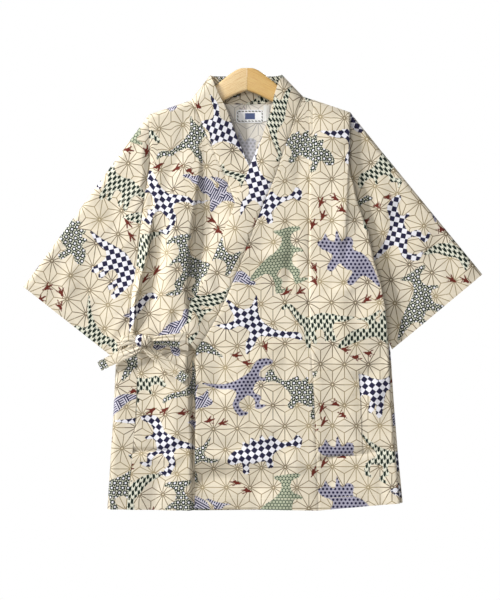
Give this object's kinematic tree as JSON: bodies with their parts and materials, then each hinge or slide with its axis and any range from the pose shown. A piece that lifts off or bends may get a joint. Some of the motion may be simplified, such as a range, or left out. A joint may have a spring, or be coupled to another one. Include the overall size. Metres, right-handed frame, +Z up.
{
  "type": "jinbei top on hanger",
  "caption": "Child's wrap-front summer top with wide open sleeves, a long collar band, side ties and a patch pocket, hung on a plain wooden hanger.",
  "frame": {"origin": "top of the hanger's crown, in the middle of its thickness, where a hook or a peg would hold it", "axes": "+Z up, the garment's front faces -Y, +X to the wearer's left (the right side of the picture)"},
  "size_m": [0.734, 0.0465, 0.706],
  "materials": {
    "back": "matte",
    "front_left": "matte",
    "front_right": "matte",
    "okumi_left": "matte",
    "okumi_right": "matte",
    "collar": "matte",
    "sleeve_left": "matte",
    "sleeve_right": "matte",
    "pocket": "matte",
    "tie_front": "matte",
    "tie_knot": "matte",
    "tie_loop": "matte",
    "tie_end_left": "matte",
    "tie_end_right": "matte",
    "label": "matte",
    "care_strip": "matte",
    "hanger_left": "satin",
    "hanger_right": "satin"
  },
  "bodies": {
    "root": {"back": "back", "front_left": "front_left", "front_right": "front_right", "okumi_left": "okumi_left", "okumi_right": "okumi_right", "collar": "collar", "sleeve_left": "sleeve_left", "sleeve_right": "sleeve_right", "pocket": "pocket", "tie_front": "tie_front", "tie_knot": "tie_knot", "tie_loop": "tie_loop", "tie_end_left": "tie_end_left", "tie_end_right": "tie_end_right", "label": "label", "care_strip": "care_strip", "hanger_left": "hanger_left", "hanger_right": "hanger_right"}
  },
  "joints": []
}
